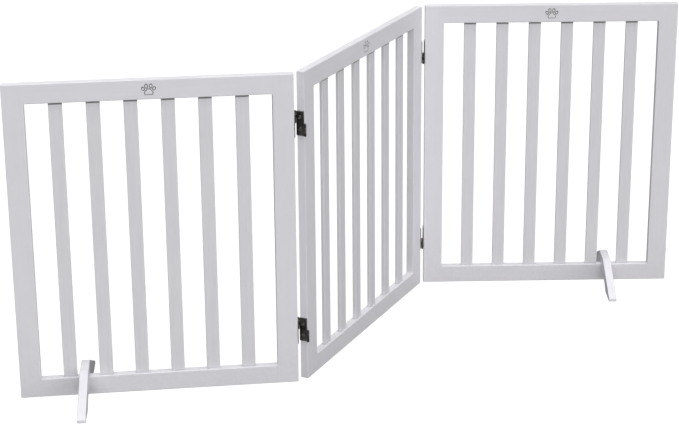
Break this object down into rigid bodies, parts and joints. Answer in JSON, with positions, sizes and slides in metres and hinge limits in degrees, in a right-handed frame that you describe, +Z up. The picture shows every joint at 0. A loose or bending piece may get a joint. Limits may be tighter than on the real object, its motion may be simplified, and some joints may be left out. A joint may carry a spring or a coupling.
{
  "type": "pet gate",
  "caption": "Free-standing folding pet gate: slatted wooden panels joined by double-action hinges, with a lift-off support foot on each outer panel.",
  "frame": {"origin": "on the floor, at the middle of the underside of the middle panel's bottom rail", "axes": "+X along the gate from left to right, +Y from front to back, +Z up; the gate stands open in its zigzag"},
  "size_m": [1.3276, 0.7186, 0.61],
  "materials": {
    "painted_wood": "white satin paint",
    "dark_steel": "dark bronzed steel",
    "pin_steel": "dark bronzed steel"
  },
  "bodies": {
    "middle_panel": {"middle_left_stile": "painted_wood", "middle_right_stile": "painted_wood", "middle_top_rail": "painted_wood", "middle_bottom_rail": "painted_wood", "middle_slat_1": "painted_wood", "middle_slat_2": "painted_wood", "middle_slat_3": "painted_wood", "middle_slat_4": "painted_wood", "middle_slat_5": "painted_wood", "middle_slat_6": "painted_wood", "left_upper_hinge_front_leaf": "dark_steel", "left_lower_hinge_front_leaf": "dark_steel", "right_upper_hinge_back_leaf": "dark_steel", "right_lower_hinge_back_leaf": "dark_steel"},
    "left_hinge_link": {"left_upper_hinge_middle_leaf": "dark_steel", "left_upper_hinge_back_pin": "pin_steel", "left_upper_hinge_front_pin": "pin_steel", "left_lower_hinge_middle_leaf": "dark_steel", "left_lower_hinge_back_pin": "pin_steel", "left_lower_hinge_front_pin": "pin_steel"},
    "left_panel": {"left_left_stile": "painted_wood", "left_right_stile": "painted_wood", "left_top_rail": "painted_wood", "left_bottom_rail": "painted_wood", "left_slat_1": "painted_wood", "left_slat_2": "painted_wood", "left_slat_3": "painted_wood", "left_slat_4": "painted_wood", "left_slat_5": "painted_wood", "left_slat_6": "painted_wood", "left_upper_hinge_back_leaf": "dark_steel", "left_lower_hinge_back_leaf": "dark_steel"},
    "left_foot": {"left_foot": "painted_wood"},
    "right_hinge_link": {"right_upper_hinge_middle_leaf": "dark_steel", "right_upper_hinge_back_pin": "pin_steel", "right_upper_hinge_front_pin": "pin_steel", "right_lower_hinge_middle_leaf": "dark_steel", "right_lower_hinge_back_pin": "pin_steel", "right_lower_hinge_front_pin": "pin_steel"},
    "right_panel": {"right_left_stile": "painted_wood", "right_right_stile": "painted_wood", "right_top_rail": "painted_wood", "right_bottom_rail": "painted_wood", "right_slat_1": "painted_wood", "right_slat_2": "painted_wood", "right_slat_3": "painted_wood", "right_slat_4": "painted_wood", "right_slat_5": "painted_wood", "right_slat_6": "painted_wood", "right_upper_hinge_front_leaf": "dark_steel", "right_lower_hinge_front_leaf": "dark_steel"},
    "right_foot": {"right_foot": "painted_wood"}
  },
  "joints": [
    {"name": "left_fold_forward", "type": "hinge", "parent": "middle_panel", "child": "left_hinge_link", "pos_m": [-0.12365, -0.23201, 0], "axis": [0, 0, 1], "range_deg": [0, 160]},
    {"name": "left_fold_back", "type": "hinge", "parent": "left_hinge_link", "child": "left_panel", "pos_m": [-0.14143, -0.22162, 0], "axis": [0, 0, -1], "range_deg": [-56.8, 103.2]},
    {"name": "left_foot_lift", "type": "slide", "parent": "left_panel", "child": "left_foot", "axis": [0, 0, 1], "range_m": [0, 0.06]},
    {"name": "right_fold_back", "type": "hinge", "parent": "middle_panel", "child": "right_hinge_link", "pos_m": [0.12365, 0.23201, 0], "axis": [0, 0, 1], "range_deg": [0, 160]},
    {"name": "right_fold_forward", "type": "hinge", "parent": "right_hinge_link", "child": "right_panel", "pos_m": [0.14143, 0.22162, 0], "axis": [0, 0, -1], "range_deg": [-62.6, 97.4]},
    {"name": "right_foot_lift", "type": "slide", "parent": "right_panel", "child": "right_foot", "axis": [0, 0, 1], "range_m": [0, 0.06]}
  ]
}
